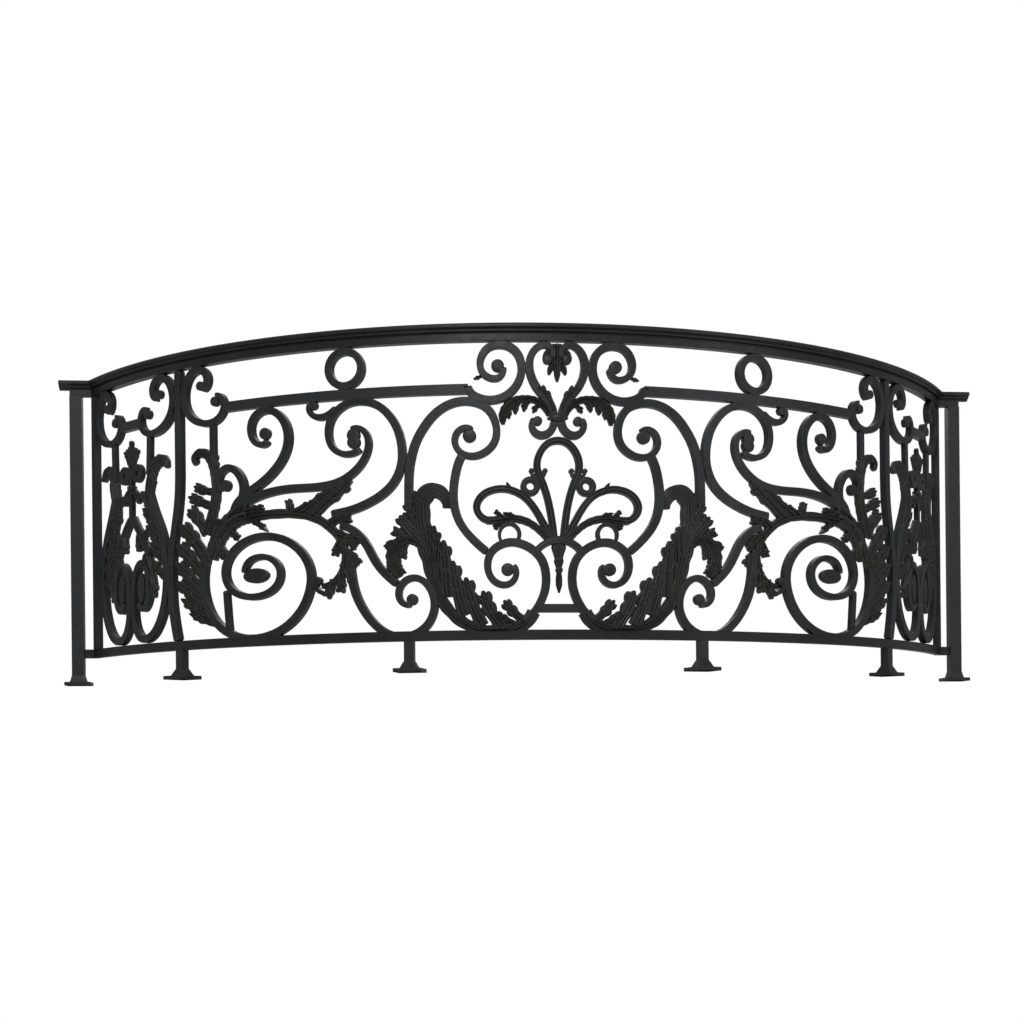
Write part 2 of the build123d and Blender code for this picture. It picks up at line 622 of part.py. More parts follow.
side_branch = leafed(
    frond([(1572, 556), (1538, 512), (1502, 462), (1474, 404), (1462, 350)], 26, 22, lift=3),
    ((1510, 470), (1500, 500), (1482, 500), 22), ((1480, 420), (1462, 440), (1450, 430), 22),
    ((1466, 360), (1440, 320), (1466, 282), 34), lift=3,
)
side_spiral = fitted(side_spiral, outer_post, bottom_rail)
side_leaf = fitted(side_leaf, side_spiral, outer_post, side_cs)
side_branch = fitted(side_branch, side_spiral, side_leaf)
side_upright = bent_bar(flip([(1160, 824), (1158, 760), (1154, 690)], OUTER_FOOT_ARC), 22, depth=18)
side_upright = fitted(side_upright, side_cs, side_leaf)
keep("side_spirals", pair(both(side_spiral, SIDE_AXIS)))
keep("side_leaves", pair(both(side_leaf, SIDE_AXIS)))
keep("side_branches", pair(both(side_branch, SIDE_AXIS)))
uprights = [*upright.solids(), *prop.solids(), *both(side_upright, SIDE_AXIS).solids()]
keep("upright_bars", pair(Compound(children=uprights)))

# Flower on the axis of each side panel: bud over two curls on a stem
flower = leafed(
    bent_bar([(SIDE_AXIS, 548), (SIDE_AXIS, 620), (SIDE_AXIS, 690), (SIDE_AXIS, 742)], 18, 14, depth=18),
    ((SIDE_AXIS, 730), (SIDE_AXIS, 775), (SIDE_AXIS, 812), 52),
    ((SIDE_AXIS, 655), (SIDE_AXIS - 30, 640), (SIDE_AXIS - 52, 604), 28),
    ((SIDE_AXIS, 655), (SIDE_AXIS + 30, 640), (SIDE_AXIS + 52, 604), 28),
)
flower = fuse(
    flower, ring(SIDE_AXIS - 40, 705, 32, 9, LIGHT_DEPTH), ring(SIDE_AXIS + 40, 705, 32, 9, LIGHT_DEPTH),
    bow_plane(SIDE_AXIS, 660) * Box(30, 12, BAR_DEPTH),
)
side_flower = fitted(flower, both(side_branch, SIDE_AXIS), both(side_leaf, SIDE_AXIS))
keep("side_flowers", pair(side_flower))

# The origin stands on the floor midway between the front of the handrail and the back of the end feet
ORIGIN_Y = (corner.Y + FOOT_WIDTH / 2 - CAP_HALF_WIDTH) / 2
for name, shape in PIECES.items():
    export_step(shape.moved(Location((0, -ORIGIN_Y, 0))), "parts/" + name + ".step")
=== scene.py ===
import math

import bpy
import numpy as np
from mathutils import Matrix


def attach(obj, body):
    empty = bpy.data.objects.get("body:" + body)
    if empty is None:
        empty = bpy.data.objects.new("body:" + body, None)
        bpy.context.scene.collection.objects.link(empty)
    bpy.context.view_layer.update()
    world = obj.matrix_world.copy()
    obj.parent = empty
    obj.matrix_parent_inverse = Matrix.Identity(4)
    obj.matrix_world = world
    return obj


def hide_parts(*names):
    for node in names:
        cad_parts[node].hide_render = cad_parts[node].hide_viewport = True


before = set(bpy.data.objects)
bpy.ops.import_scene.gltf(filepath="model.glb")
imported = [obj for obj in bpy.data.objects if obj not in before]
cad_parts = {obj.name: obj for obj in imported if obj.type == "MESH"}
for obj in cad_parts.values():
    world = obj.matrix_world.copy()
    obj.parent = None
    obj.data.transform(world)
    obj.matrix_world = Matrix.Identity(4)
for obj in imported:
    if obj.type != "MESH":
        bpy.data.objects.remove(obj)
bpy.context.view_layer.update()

# Posts, feet and short straight bars: sawn and welded mild steel, smooth and straight, sprayed in one
# satin near-black paint. They keep the solids' shapes and get this paint, with their edges eased a little.
def iron_paint(name, dark, light, rough, dimple, dimple_scale, painted_light_strength, eased_edges=False):
    """Satin paint on iron. Tone = mix(dark, light, noise), with a painted highlight where pointiness is over
    0.5 and a painted shade where it is under 0.49, both by the painted-light strength; gloss = rough + noise;
    relief = hammer dimples + fine peel."""
    mat = bpy.data.materials.new(name)
    mat.use_nodes = True
    nodes, links = mat.node_tree.nodes, mat.node_tree.links
    shader = nodes["Principled BSDF"]
    coords = nodes.new("ShaderNodeTexCoord")
    pointiness = nodes.new("ShaderNodeNewGeometry").outputs["Pointiness"]

    def noise(scale, detail):
        cloud = nodes.new("ShaderNodeTexNoise")
        cloud.inputs["Scale"].default_value = scale
        cloud.inputs["Detail"].default_value = detail
        links.new(coords.outputs["Object"], cloud.inputs["Vector"])
        return cloud.outputs["Fac"]

    def spread(value, *limits):
        """Map Range: its sockets 1 to 4 hold the low and high limits before and after."""
        mapped = nodes.new("ShaderNodeMapRange")
        for socket, limit in enumerate(limits, 1):
            mapped.inputs[socket].default_value = limit
        links.new(value, mapped.inputs[0])
        return mapped.outputs[0]

    def blend(amount, under, over):
        """Colour mix: its sockets 6 and 7 hold the colours at amount 0 and 1."""
        mixed = nodes.new("ShaderNodeMix")
        mixed.data_type = "RGBA"
        links.new(amount, mixed.inputs[0])
        if isinstance(under, tuple):
            mixed.inputs[6].default_value = under
        else:
            links.new(under, mixed.inputs[6])
        mixed.inputs[7].default_value = over
        return mixed.outputs[2]

    def relief(height, strength, distance, below=None):
        bump = nodes.new("ShaderNodeBump")
        bump.inputs["Strength"].default_value = strength
        bump.inputs["Distance"].default_value = distance
        links.new(height, bump.inputs["Height"])
        if below is not None:
            links.new(below, bump.inputs["Normal"])
        return bump.outputs[0]

    # Painted highlight: convex edges, where pointiness is over 0.5, are painted paler than the paint itself.
    painted_edge_highlight = (*[c * 2.4 for c in light], 1)
    # Painted shade: hollows, where pointiness is under 0.49, are painted darker than the paint itself.
    painted_hollow_shade = (*[c * 0.3 for c in dark], 1)
    tone = blend(spread(noise(9.0, 5.0), 0.3, 0.7, 0.0, 1.0), (*dark, 1), (*light, 1))
    edge_highlighted_tone = blend(spread(pointiness, 0.5, 0.6, 0.0, painted_light_strength), tone, painted_edge_highlight)
    hollow_shaded_tone = blend(spread(pointiness, 0.40, 0.49, painted_light_strength, 0.0), edge_highlighted_tone, painted_hollow_shade)
    links.new(hollow_shaded_tone, shader.inputs["Base Color"])
    gloss = spread(noise(45.0, 5.0), 0.3, 0.7, rough - 0.07, rough + 0.10)
    links.new(gloss, shader.inputs["Roughness"])
    shader.inputs["Specular IOR Level"].default_value = 0.42
    below = None
    if eased_edges:
        eased = nodes.new("ShaderNodeBevel")
        eased.samples = 3
        eased.inputs["Radius"].default_value = 0.002
        below = eased.outputs[0]
    hammered = relief(noise(dimple_scale, 2.0), 1.0, dimple, below)
    peel = relief(noise(650.0, 2.0), 0.3, 0.0001, hammered)
    links.new(peel, shader.inputs["Normal"])
    return mat


RAIL_DARK, RAIL_LIGHT = (0.008, 0.0088, 0.0095), (0.018, 0.0195, 0.021)
BAR_DARK, BAR_LIGHT = (0.012, 0.0142, 0.0155), (0.027, 0.0315, 0.0345)
straight_paint = iron_paint("straight_iron_paint", RAIL_DARK, RAIL_LIGHT, 0.38, 0.0004, 30.0, 0.5, True)
for name in ("end_posts", "feet", "foot_stubs", "corner_bars", "tie_bar", "middle_rails",
             "side_middle_rails"):
    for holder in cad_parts[name].material_slots:
        holder.material = straight_paint

# Handrail, the flat bar under it and the bottom rail: rolled sections bent to one bow, mitred and
# welded to short straight returns at both ends. The handrail has a bead under its rounded cap.
BOW_RADIUS = 1754.5
CORNER_ARC = 1860.0
END_FOOT_HALF = 44.0
CAP_HALF = 32.0
ORIGIN_Y = (BOW_RADIUS * (1 - math.cos(CORNER_ARC / BOW_RADIUS)) + END_FOOT_HALF - CAP_HALF) / 2
END_POST_OUT = 62.0
END_POST_HALF = 21.0
RETURN_END = END_POST_OUT + END_POST_HALF
CAP_OVERHANG = 36.0
rail_paint = iron_paint("rail_paint", RAIL_DARK, RAIL_LIGHT, 0.36, 0.0003, 24.0, 0.4)


def skin(grid, ring_closed=False):
    """Faces over a grid of closed rings. Ends get fans to their middles unless the last ring meets the
    first. Where the volume, the sum of a . (b x c) over triangles, is negative, the faces are turned."""
    count, size = grid.shape[:2]
    i, j = np.meshgrid(np.arange(count if ring_closed else count - 1), np.arange(size), indexing="ij")
    next_ring, side = (i + 1) % count * size, (j + 1) % size
    quads = np.stack([i * size + j, i * size + side, next_ring + side, next_ring + j], -1).reshape(-1, 4)
    verts = grid.reshape(-1, 3)
    fans = np.zeros((0, 3), int)
    if not ring_closed:
        verts = np.vstack([verts, grid[0].mean(0), grid[-1].mean(0)])
        k = np.arange(size)
        start_middle, end_middle = np.full(size, count * size), np.full(size, count * size + 1)
        last_ring = (count - 1) * size
        fans = np.vstack([np.stack([start_middle, (k + 1) % size, k], -1),
                          np.stack([end_middle, last_ring + k, last_ring + (k + 1) % size], -1)])
    from_middle = verts - verts.mean(0)
    a, b, c = (from_middle[corner] for corner in np.vstack([quads[:, :3], quads[:, (0, 2, 3)], fans]).T)
    volume = np.einsum("ij,ij->", a, np.cross(b, c))
    faces = quads.tolist() + fans.tolist()
    return verts, faces if volume > 0 else [face[::-1] for face in faces]


def make_piece(name, nodes, parts, paint, twins=True):
    """One mesh from closed parts, each with its mirror twin across the middle if twins."""
    verts, faces, base = [], [], 0
    for v, f in parts:
        for side in ((1, -1) if twins else (1,)):
            verts.append(v * (side, 1, 1))
            faces += [[base + k for k in (face if side == 1 else face[::-1])] for face in f]
            base += len(v)
    mesh = bpy.data.meshes.new(name)
    mesh.from_pydata(np.vstack(verts).tolist(), [], faces)
    mesh.polygons.foreach_set("use_smooth", np.ones(len(mesh.polygons), bool))
    mesh.materials.append(paint)
    mesh.update()
    obj = bpy.data.objects.new(name, mesh)
    bpy.context.scene.collection.objects.link(obj)
    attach(obj, "root")
    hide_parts(*nodes)
    return obj


def rail_moulding(outline, reach, ease=1.6, step=0.012):
    """Outline of (outward, height) carried along return, bow, return. At angle a the bow's outward
    direction is (sin a, -cos a); a mitre's is the mean of its two sides over the cosine of half the turn."""
    half = CORNER_ARC / BOW_RADIUS
    a = np.linspace(-half, half, int(2 * half / step))
    path = np.stack([BOW_RADIUS * np.sin(a), BOW_RADIUS * (1 - np.cos(a))], -1)
    out = np.stack([np.sin(a), -np.cos(a)], -1)
    flat = np.array([0.0, -1.0])
    for end in (0, -1):
        mean = out[end] + flat
        mean /= np.linalg.norm(mean)
        out[end] = mean / (mean @ flat)
    run = np.array([reach, 0.0])
    path = np.vstack([path[0] - run, path, path[-1] + run])
    out = np.vstack([flat, out, flat])
    corners = np.array(outline, float)
    ring = []
    for k in range(len(corners)):
        here, before, after = corners[k], corners[k - 1], corners[(k + 1) % len(corners)]
        p = here + (before - here) * ease / np.linalg.norm(before - here)
        q = here + (after - here) * ease / np.linalg.norm(after - here)
        ring += [(1 - t) ** 2 * p + 2 * t * (1 - t) * here + t * t * q for t in (0.0, 0.33, 0.67, 1.0)]
    ring = np.array(ring)
    grid = np.zeros((len(path), len(ring), 3))
    grid[..., :2] = path[:, None] + out[:, None] * ring[None, :, :1]
    grid[..., 1] -= ORIGIN_Y
    grid[..., 2] = ring[None, :, 1]
    return skin(grid / 1000.0)


def finish_moulding(obj):
    """Flats stay flat and mitres stay crisp in the shading."""
    obj.data.set_sharp_from_angle(angle=math.radians(40))
    obj.modifiers.new("flat_faces", "WEIGHTED_NORMAL").keep_sharp = True


# The cap is 0.2 mm narrower on each side than the solid, to stay inside the box of its faceted mesh.
CAP_SIDE = CAP_HALF - 0.2
cap_half = [(9, 1039.5), (9, 1046), (21, 1046), (21, 1052), (CAP_SIDE, 1057.4), (CAP_SIDE, 1064.6),
            (26.6, 1070)]
cap_outline = cap_half + [(-out, z) for out, z in cap_half[::-1]]
for title, node, outline, reach in (
        ("handrail_moulding", "handrail_cap", cap_outline, RETURN_END + CAP_OVERHANG),
        ("top_flat", "top_rail", [(-15, 1017), (15, 1017), (15, 1039.5), (-15, 1039.5)], RETURN_END),
        ("bottom_flat", "bottom_rail", [(-12, 96), (12, 96), (12, 127), (-12, 127)],
         RETURN_END - 2 * END_POST_HALF)):
    moulding = rail_moulding(outline, reach)
    finish_moulding(make_piece(title, [node], [moulding], rail_paint, False))

# Outer posts: square bars that swell outward in their lower half, forged hot over a former. All
# the scrollwork is laid out by arc and height along the bow, and stays between the rails' LOW and HIGH.
BAR = 25.5
BAR_DEPTH = 26.0
LOW, HIGH = 126.6, 1017.4
bar_paint = iron_paint("bar_paint", BAR_DARK, BAR_LIGHT, 0.40, 0.0009, 42.0, 0.55)


def on_bow(arc, height, lift):
    """Metres in the row frame: x = (R + lift) sin(arc / R), y = R - (R + lift) cos(arc / R) - origin."""
    a = arc / BOW_RADIUS
    r = BOW_RADIUS + lift
    return np.stack([r * np.sin(a), BOW_RADIUS - r * np.cos(a) - ORIGIN_Y, height + 0 * a], -1) / 1000.0


def smooth_line(points, pitch):
    """Cubic spline through the points over their chord lengths u, with equal curvature at each end pair.
    On each span, with a and c the distances to its ends: m0 a^3/6h + m1 c^3/6h + linear terms."""
    p = np.array(points, float)
    u = np.r_[0, np.cumsum(np.hypot(*np.diff(p, axis=0).T))]
    h, count = np.diff(u), len(p)
    system, right = np.eye(count), np.zeros((count, 2))
    system[0, 1] = system[-1, -2] = -1
    i = np.arange(1, count - 1)
    system[i, i - 1], system[i, i], system[i, i + 1] = h[:-1], 2 * (h[:-1] + h[1:]), h[1:]
    rise = np.diff(p, axis=0) / h[:, None]
    right[1:-1] = 6 * (rise[1:] - rise[:-1])
    m = np.linalg.solve(system, right)
    t = np.linspace(0, u[-1], max(10, int(u[-1] / pitch)))
    k = np.clip(np.searchsorted(u, t, side="right") - 1, 0, count - 2)
    a, c, w = (u[k + 1] - t)[:, None], (t - u[k])[:, None], h[k][:, None]
    line = m[k] * a ** 3 / (6 * w) + m[k + 1] * c ** 3 / (6 * w)
    line += (p[k] / w - m[k] * w / 6) * a + (p[k + 1] / w - m[k + 1] * w / 6) * c
    slope = np.gradient(line, axis=0)
    slope /= np.hypot(slope[:, :1], slope[:, 1:])
    return line, slope, u[-1]


def forged_bar(points, width=BAR, tip=None, depth=BAR_DEPTH, taper_from=0.55, lift=0.0, rib=0.0, pitch=5.0):
    """Square bar bent on edge along a line on the bow. One ring: a quarter outline with an eased corner
    and, where rib > 0, a raised bead between two grooves, mirrored to four sides; its width thins to tip."""
    tip = width if tip is None else tip
    line, slope, length = smooth_line(points, pitch)
    t = np.linspace(0, 1, len(line))[:, None]
    thin = np.clip((t - taper_from) / (1 - taper_from), 0, 1)
    half = (width + (tip - width) * thin) / 2
    end = np.minimum(t, 1 - t) * length
    close = np.clip(0.72 + 0.28 * end / 2.5, 0, 1)
    quarter = [(1, 0.0), (1, 0.5), (1, 0.84), (0.985, 0.94), (0.94, 0.985), (0.84, 1.0)]
    if rib:
        quarter += [(0.68, 1.0), (0.58, 1 - rib), (0.46, 1 - rib), (0.34, 1.0), (0.18, 1 + rib),
                    (0.0, 1 + 1.2 * rib)]
    else:
        quarter += [(0.62, 1.0), (0.32, 1.0), (0.0, 1.0)]
    q = np.array(quarter)
    upper = np.vstack([q, (q * (-1, 1))[-2::-1]])
    ring = np.vstack([upper, (upper * (1, -1))[-2:0:-1]])
    x, y = ring[None, :, 0], ring[None, :, 1]
    beat = 1 + 0.012 * np.sin(0.13 * length * t + 2.1 * x) * np.cos(0.071 * length * t + y)
    across = x * half * close * beat
    out = lift + y * depth / 2 * close * (2 - beat)
    s = line[:, :1] - slope[:, 1:] * across
    z = np.clip(line[:, 1:] + slope[:, :1] * across, LOW, HIGH)
    return skin(on_bow(s, z, out))


post_line = [(1313, 1017), (1313, 850), (1313, 700), (1317, 600), (1335, 500), (1350, 420), (1355, 340),
             (1353, 260), (1342, 190), (1327, 127)]
make_piece("outer_post_bars", ["outer_posts"],
           [forged_bar(post_line, 26, depth=26.4)], bar_paint)

# Scrolls: square bar drawn out thin at its end, curled hot round a scroll iron and closed on a
# flattened, slightly domed eye. Each pair mirrors across the middle of the railing.
TIP_SHARE = 0.72


def scroll_eye(arc, height, r, rise=None, depth=BAR_DEPTH):
    """Domed eye. With v from pole to pole: radius = r sin(v)^0.3, lift = depth/2 cos(v)^0.3, the
    middle of each face standing a little higher than its rim."""
    rise = r if rise is None else rise
    v = np.linspace(0.02, math.pi - 0.02, 15)[:, None]
    u = np.linspace(0, 2 * math.pi, 40, endpoint=False)[None, :]
    wide = np.sin(v) ** 0.3
    up = np.sign(np.cos(v)) * np.abs(np.cos(v)) ** 0.3 * (0.93 + 0.12 * (1 - wide))
    out = (up * depth / 2) + 0 * u
    return skin(on_bow(arc + r * wide * np.cos(u), np.clip(height + rise * wide * np.sin(u), LOW, HIGH), out))


def scroll(points, eye, r, width=BAR, tip=None, rise=None, **more):
    """A bar and the eye that it closes on."""
    tip = TIP_SHARE * width if tip is None else tip
    return [forged_bar(points, width, tip, **more), scroll_eye(*eye, r, rise, more.get("depth", BAR_DEPTH))]


def leaf_blade(points, widths, crest, lift=0.0, back=-9.0, flutes=2.0, scallop=0.0, scallops=4.0, curl=0.0,
               across=15, pitch=4.0):
    """Cast blade along a line, v across from -1 to 1 and t along. Half width = w(t) (1 - scallop |cos|^3);
    face = crest (rim(v) (0.24 + 0.42 flute(v) + 0.36 midrib(v))) + curl t^3; the back is flat."""
    line, slope, _ = smooth_line(points, pitch)
    t = np.linspace(0, 1, len(line))[:, None]
    v = np.linspace(-1, 1, across)[None, :]
    wide = np.interp(t, np.linspace(0, 1, len(widths)), widths) / 2
    teeth = 1 - scallop * np.abs(np.cos(math.pi * scallops * t + 0.6)) ** 3 * np.clip(5 * t, 0, 1)
    high = np.interp(t, (0, 0.15, 0.8, 1), (0.85, 1, 0.9, 0.45)) * crest
    midrib = np.exp(-(v / 0.16) ** 2)
    flute = 0.5 + 0.5 * np.cos(2 * math.pi * flutes * np.abs(v) + 1.2 * t)
    rim = np.clip((1.02 - np.abs(v)) / 0.3, 0, 1) ** 0.5
    face = lift + high * rim * (0.24 + 0.42 * flute * (1 - v ** 2) + 0.36 * midrib) + curl * t ** 3
    s = line[:, :1] - slope[:, 1:] * v * wide * teeth
    z = np.clip(line[:, 1:] + slope[:, :1] * v * wide * teeth, LOW, HIGH)
    front = on_bow(s, z, face)
    rear = on_bow(s[:, ::-1], z[:, ::-1], np.full_like(s, back) + 0.35 * curl * t ** 3)
    return skin(np.concatenate([front, rear], 1))


LOBE_OUTLINE = np.array([0.702, 0.72, 0.72, 0.738, 0.756, 0.576, 0.18])
LEAFLET_OUTLINE = np.array([0.50, 0.76, 0.84, 0.70, 0.24])
LEAFLET_LEAN = 0.56


def leaf_lobe(root, bend, tip, width, lift=2.0, crest=14.0, pairs=2, curl=6.0):
    """One acanthus lobe: a blunt blade on the curve (1-t)^2 root + 2t(1-t) bend + t^2 tip, with pairs of
    short rounded leaflets that leave it at 32 degrees on both sides, each lower than the last."""
    root, bend, tip = (np.array(p, float) for p in (root, bend, tip))

    def on_curve(t):
        return (1 - t) ** 2 * root + 2 * t * (1 - t) * bend + t * t * tip

    parts = [leaf_blade(on_curve(np.linspace(0, 1, 7)[:, None]), LOBE_OUTLINE * width, crest, lift,
                        flutes=1.2, scallop=0.10, scallops=2.4, curl=curl)]
    size = min(0.62 * width, 0.34 * np.hypot(*(tip - root)))
    for k in range(pairs):
        place = 0.44 + 0.26 * k
        foot = on_curve(place)
        along = 2 * (1 - place) * (bend - root) + 2 * place * (tip - bend)
        along /= np.hypot(*along)
        for lean in (LEAFLET_LEAN, -LEAFLET_LEAN):
            turn = np.array([[math.cos(lean), -math.sin(lean)], [math.sin(lean), math.cos(lean)]])
            way = turn @ along
            leaflet = [foot, foot + way * size * 0.4, foot + way * size * 0.8 + along * size * 0.04,
                       foot + way * size * 1.08 + along * size * 0.14]
            parts.append(leaf_blade(leaflet, LEAFLET_OUTLINE * size, crest * 0.84, lift - 1.0 - 1.2 * k,
                                    flutes=0.6, curl=curl * 0.6, across=9, pitch=4.5))
    return parts


def leaf_lobes(lobes, **more):
    """The parts of several lobes, each given as root, bend, tip and width."""
    return [part for lobe in lobes for part in leaf_lobe(*lobe, **more)]


def leaf_stem(points, width, tip, lift=3.0, crest=15.0, hood=None, **more):
    """Ribbed stem of a cast leaf. It thins toward its tip, or first swells into a hood that curls over."""
    if hood:
        widths = np.interp(np.linspace(0, 1, 21), (0, 0.45, 0.72, 0.9, 1),
                           (width, width * 0.9, hood, hood * 0.85, tip))
        return leaf_blade(points, widths, crest * 1.15, lift, back=-12.0, flutes=2.5, scallop=0.12,
                          scallops=13.0, across=25, **more)
    widths = np.interp(np.linspace(0, 1, 9), (0, 0.5, 1), (width, width, tip))
    return leaf_blade(points, widths, crest, lift, back=-12.0, flutes=1.0, scallop=0.07, scallops=9.0, **more)


CAST_DARK, CAST_LIGHT = (0.009, 0.009, 0.0085), (0.026, 0.0255, 0.0225)
cast_paint = iron_paint("cast_paint", CAST_DARK, CAST_LIGHT, 0.38, 0.0008, 70.0, 0.85)
make_piece("heart_scroll_bars", ["heart_scrolls"], scroll(
    [(14, 779), (18, 812), (38, 842), (60, 868), (76, 896), (85, 925), (86, 950), (79, 976),
     (63, 997), (41, 1006), (21, 999), (12.5, 982), (17, 966)], (30, 961), 15, BAR, 16)
    + leaf_lobe((14, 803), (24, 852), (60, 876), 30, 8), bar_paint)
make_piece("heart_collar_bands", ["heart_collar"], [
    scroll_eye(0, 780, 33, 8, 32), scroll_eye(0, 780, 22, 13.5, 38)], cast_paint, False)
drop_leaf = leaf_lobe((0, 1010), (0, 955), (0, 893), 34, 2, pairs=1)
for side in (1, -1):
    drop_leaf += leaf_lobe((side * 6, 1002), (side * 30, 990), (side * 42, 956), 30, 3, pairs=0)
    drop_leaf += leaf_lobe((side * 6, 960), (side * 20, 944), (side * 26, 914), 26, 0, pairs=0)
make_piece("drop_leaf_casting", ["drop_leaf"], drop_leaf, cast_paint, False)
make_piece("upper_volute_bars", ["upper_volutes"], scroll(
    [(276, 880), (266, 858), (240, 842), (204, 836), (163, 847), (132, 873), (114, 908), (111, 945),
     (123, 979), (149, 1001), (181, 1007), (212, 998), (232, 974), (238, 946), (229, 919), (206, 904),
     (184, 904), (169, 919), (165, 937)], (184, 942), 20, depth=25.6)
    + leaf_lobe((228, 915), (244, 908), (259, 902), 14, 0, pairs=1), bar_paint)
make_piece("collar_scroll_bars", ["collar_scrolls"], scroll(
    [(12, 772), (17, 748), (32, 732), (54, 727), (74, 739), (81, 760), (74, 778)], (63, 771), 15, 24, 16),
    bar_paint)
swept = [leaf_stem([(22, 792), (45, 821), (78, 839), (112, 840), (144, 826), (166, 798), (168, 762)],
                   24, 12, hood=34)]
swept += leaf_lobes((
    ((84, 838), (104, 826), (104, 800), 26), ((116, 836), (134, 820), (130, 792), 28),
    ((50, 826), (70, 816), (76, 796), 22), ((144, 824), (156, 806), (150, 778), 26)), pairs=1)
make_piece("swept_leaf_castings", ["swept_leaves"], swept, cast_paint)

# Front panel: C-scrolls carry the middle, with wide palmette scrolls low in the centre and link bars
# between them, all of the same square bar, welded where they touch.
make_piece("c_scroll_bars", ["c_scrolls"], scroll(
    [(465, 500), (464, 575), (462, 620), (454, 668), (440, 712), (415, 756), (380, 797), (340, 823),
     (296, 834), (252, 829), (216, 809), (196, 777), (189, 739), (198, 703), (223, 677), (260, 664),
     (295, 672), (315, 695), (318, 721), (306, 743), (284, 752), (264, 745)], (273, 727), 21, depth=25.2),
    bar_paint)
make_piece("palmette_scroll_bars", ["palmette_scrolls"], scroll(
    [(110, 152), (78, 182), (56, 217), (43, 256), (41, 296), (50, 335), (73, 367), (108, 389),
     (148, 397), (183, 388), (208, 368), (220, 336), (217, 303), (201, 278), (176, 266), (152, 270),
     (136, 287), (133, 308), (141, 326)], (159, 313), 20), bar_paint)
make_piece("link_bar_pair", ["link_bars"], [forged_bar(
    [(296, 668), (309, 640), (319, 600), (324, 560), (323, 520), (313, 478), (292, 439),
     (260, 402), (222, 368)], depth=24.8)], bar_paint)
make_piece("bridge_bar", ["bridge_arc"], [forged_bar(
    [(-74, 362), (-48, 389), (-22, 401), (0, 405), (22, 401), (48, 389), (74, 362)],
    22, depth=25.4, rib=0.07)], bar_paint, False)

# Palmette: a tall arch, two rings and long loops that fan from the bridge, with a leafy drop below.
# Its bars have a raised bead down the middle of each face, as rolled ornamental stock has.
BEAD = 0.2
arch_side = [(28, 704), (51, 681), (64, 650), (65, 624), (54, 592), (42, 560), (29, 510), (20, 455),
             (15, 412)]
arch_line = [(-s, z) for s, z in arch_side[::-1]] + [(0, 711)] + arch_side
arch = [forged_bar(arch_line, 22, depth=25, rib=BEAD, pitch=4)]
for side in (1, -1):
    for bend, end, knob in ((72, 84, 83), (50, 40, 41)):
        arch += [forged_bar([(side * 60, 604), (side * bend, 600), (side * end, 612)], 12, 9, depth=20),
                 scroll_eye(side * knob, 617, 8.5, depth=22)]
make_piece("palmette_arch_bar", ["palmette_arch"], arch, bar_paint, False)


def ring_bar(arc, height, r, width, depth, rib=0.0, about=72):
    """Round ring of eased square section: radius = r + x width/2 over angle u, lift = y depth/2."""
    q = np.array([(1, 0), (1, 0.55), (1, 0.84), (0.97, 0.95), (0.84, 1), (0.5, 1 - rib), (0.25, 1 + rib),
                  (0, 1 + rib)])
    upper = np.vstack([q, (q * (-1, 1))[-2::-1]])
    ring = np.vstack([upper, (upper * (1, -1))[-2:0:-1]])
    u = np.linspace(0, 2 * math.pi, about, endpoint=False)[:, None]
    radius = r + ring[None, :, 0] * width / 2
    out = ring[None, :, 1] * depth / 2 + 0 * u
    return skin(on_bow(arc + radius * np.cos(u), height + radius * np.sin(u), out), True)


make_piece("palmette_ring_pair", ["palmette_rings"],
           [ring_bar(87, 569, 21, 19.5, 22, 0.3)], bar_paint)
make_piece("palmette_loop_bars", ["palmette_loops"], [
    forged_bar([(20, 404), (47, 453), (76, 503), (106, 537), (138, 555), (168, 562), (197, 560), (226, 549),
                (246, 529), (253, 507), (246, 485), (230, 470), (206, 463)], 22, depth=24.4, rib=BEAD),
    leaf_stem([(222, 466), (190, 467), (160, 471), (125, 469), (90, 457), (57, 432), (32, 404)], 25, 20)]
    + leaf_lobe((150, 466), (184, 462), (200, 438), 22) + leaf_lobe((160, 470), (184, 480), (196, 496), 18)
    + leaf_lobe((140, 548), (152, 566), (160, 582), 18, pairs=0)
    + leaf_lobe((118, 468), (146, 482), (172, 488), 20, pairs=1), bar_paint)
make_piece("palmette_curl_bars", ["palmette_curls"], [forged_bar(
    [(127, 404), (122, 424), (131, 444), (152, 454), (174, 445), (183, 426), (178, 400)], 13, 9, depth=18)],
    bar_paint)
HUSK_OUTLINE = np.array([0.8, 1, 0.8, 0.45, 0.15])
HUSK_TOP = 402
husk = []
for top, length, w in ((404, 92, 46), (396, 84, 26), (352, 56, 30)):
    husk += [leaf_blade([(0, top), (0, top - length / 2), (0, top - length)], HUSK_OUTLINE * w, 14,
                        lift=(HUSK_TOP - top) * 0.04, back=-12, flutes=2.5, scallop=0.15, scallops=1.5)]
husk += [scroll_eye(0, 311, 11.5, 11.5, 24),
         leaf_blade([(0, 308), (0, 276), (0, 241)], [14, 20, 19, 5], 12, back=-10)]
make_piece("husk_drop_casting", ["husk_drop"], husk, cast_paint, False)

